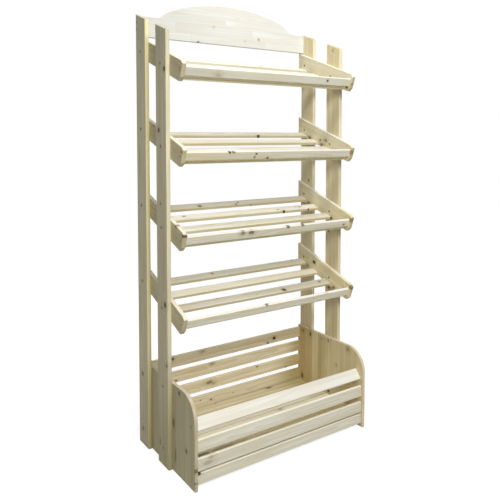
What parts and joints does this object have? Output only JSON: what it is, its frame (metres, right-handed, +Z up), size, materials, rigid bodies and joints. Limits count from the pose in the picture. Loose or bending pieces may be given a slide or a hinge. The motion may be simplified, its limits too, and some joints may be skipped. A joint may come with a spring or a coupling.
{
  "type": "bakery bread rack",
  "caption": "Free-standing pine bread rack: four flat posts, an arched header board, sloping slatted shelves with front rails, and a slatted bin at the foot.",
  "frame": {"origin": "centre of the rack's footprint, on the floor", "axes": "+Z up, +X to the right of someone who faces the rack, -Y out of its open front"},
  "size_m": [0.953, 0.485, 1.995],
  "materials": {
    "pine": "planed, unfinished",
    "zinc_steel": "zinc plated"
  },
  "bodies": {
    "root": {"bin_back_slat_1": "pine", "bin_back_slat_2": "pine", "bin_back_slat_3": "pine", "bin_back_slat_4": "pine", "bin_floor_board_1": "pine", "bin_floor_board_2": "pine", "bin_floor_board_3": "pine", "bin_floor_board_4": "pine", "bin_front_plinth": "pine", "bin_front_slat_1": "pine", "bin_front_slat_2": "pine", "bin_left_cleat": "pine", "bin_left_end": "pine", "bin_lip": "pine", "bin_right_cleat": "pine", "bin_right_end": "pine", "front_left_post": "pine", "front_right_post": "pine", "header_board": "pine", "rear_left_post": "pine", "rear_right_post": "pine", "shelf_1_front_rail": "pine", "shelf_1_left_side": "pine", "shelf_1_right_side": "pine", "shelf_1_slat_1": "pine", "shelf_1_slat_2": "pine", "shelf_1_slat_3": "pine", "shelf_1_slat_4": "pine", "shelf_2_front_rail": "pine", "shelf_2_left_side": "pine", "shelf_2_right_side": "pine", "shelf_2_slat_1": "pine", "shelf_2_slat_2": "pine", "shelf_2_slat_3": "pine", "shelf_2_slat_4": "pine", "shelf_3_front_rail": "pine", "shelf_3_left_side": "pine", "shelf_3_right_side": "pine", "shelf_3_slat_1": "pine", "shelf_3_slat_2": "pine", "shelf_3_slat_3": "pine", "shelf_3_slat_4": "pine", "shelf_4_front_rail": "pine", "shelf_4_left_side": "pine", "shelf_4_right_side": "pine", "shelf_4_slat_1": "pine", "shelf_4_slat_2": "pine", "shelf_4_slat_3": "pine", "shelf_4_slat_4": "pine", "shelf_bolts": "zinc_steel"}
  },
  "joints": []
}
